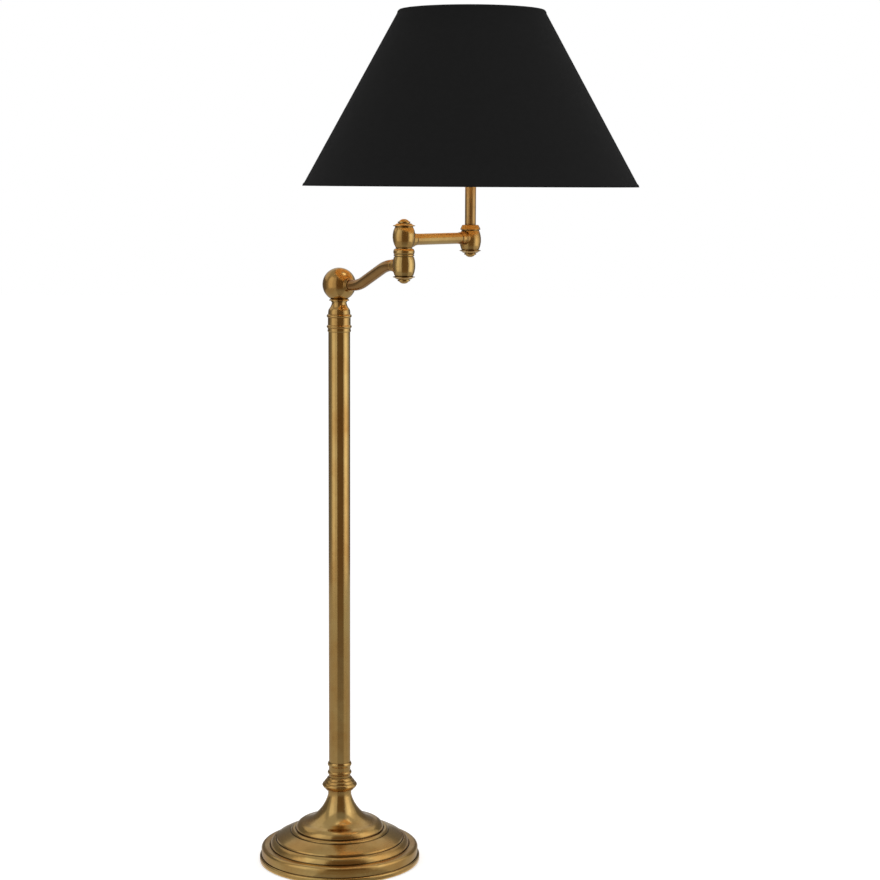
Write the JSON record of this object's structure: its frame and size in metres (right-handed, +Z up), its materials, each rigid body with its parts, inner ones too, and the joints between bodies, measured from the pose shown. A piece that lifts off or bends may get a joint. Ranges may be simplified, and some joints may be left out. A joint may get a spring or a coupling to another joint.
{
  "type": "swing arm floor lamp",
  "caption": "Floor lamp with a round stepped foot, a pole, a double arm that swings at the pole top and at an elbow, and a conical shade.",
  "frame": {"origin": "centre of the foot's underside, on the pole's axis, on the floor", "axes": "+Z up along the pole, +X to the right and +Y away for a person who faces the lamp as in the picture"},
  "size_m": [0.5549, 0.4875, 1.2596],
  "materials": {
    "antique_brass": "satin, antique patina",
    "zinc_steel": "zinc plated",
    "cast_iron": "as cast, painted",
    "felt": "pressed felt",
    "black_rubber": "moulded",
    "nylon": "moulded, black",
    "porcelain": "glazed",
    "nickel_sheet": "nickel plated",
    "black_phenolic": "moulded",
    "white_wire": "white powder coat",
    "black_shade_fabric": "fabric on stiff card",
    "shade_lining": "gold metallised film on card"
  },
  "bodies": {
    "stand": {"felt_pad": "felt", "base_weight": "cast_iron", "base_cover": "antique_brass", "cord_inlet_bush": "black_rubber", "tie_rod": "zinc_steel", "tie_rod_washer": "zinc_steel", "tie_rod_nut": "zinc_steel", "base_knop": "antique_brass", "lower_ferrule": "antique_brass", "pole_tube": "antique_brass", "upper_ferrule": "antique_brass", "swivel_neck": "antique_brass", "swivel_slip_washer": "nylon"},
    "lower_arm": {"ball_seat_ring": "antique_brass", "swivel_ball": "antique_brass", "swivel_spindle": "zinc_steel", "swivel_washer": "zinc_steel", "swivel_nut": "zinc_steel", "ball_collar": "antique_brass", "lower_arm_tube": "antique_brass", "lower_elbow_barrel": "antique_brass", "elbow_bottom_cap": "antique_brass", "elbow_bead_ring": "antique_brass", "elbow_spindle": "zinc_steel", "elbow_finials": "antique_brass"},
    "upper_arm": {"elbow_slip_washer": "nylon", "upper_elbow_barrel": "antique_brass", "arm_caps": "antique_brass", "upper_arm_tube": "antique_brass", "hub_barrel": "antique_brass", "hub_finial": "antique_brass", "hub_top_collar": "antique_brass", "stem_rod": "zinc_steel", "stem_tube": "antique_brass", "lampholder_cap": "antique_brass", "lampholder_shell": "antique_brass", "lampholder_core": "porcelain", "lampholder_screw_shell": "nickel_sheet", "lampholder_contact": "nickel_sheet", "shade_ring_nut": "black_phenolic", "shade_carrier_ring": "white_wire", "shade_spokes": "white_wire", "shade_bottom_ring": "white_wire", "shade_top_ring": "white_wire", "shade_cover": "black_shade_fabric", "shade_lining": "shade_lining"},
    "switch_bar": {"switch_bar": "black_phenolic"}
  },
  "joints": [
    {"name": "pole_swivel", "type": "hinge", "parent": "stand", "child": "lower_arm", "pos_m": [0, 0, 0.8657], "axis": [0, 0, 1], "range_deg": [-175, 175]},
    {"name": "elbow_swivel", "type": "hinge", "parent": "lower_arm", "child": "upper_arm", "pos_m": [0.09642, -0.11491, 0.9188], "axis": [0, 0, 1], "range_deg": [-275, 75]},
    {"name": "switch_push", "type": "slide", "parent": "upper_arm", "child": "switch_bar", "axis": [1, 0, 0], "range_m": [0, 0.006]}
  ]
}
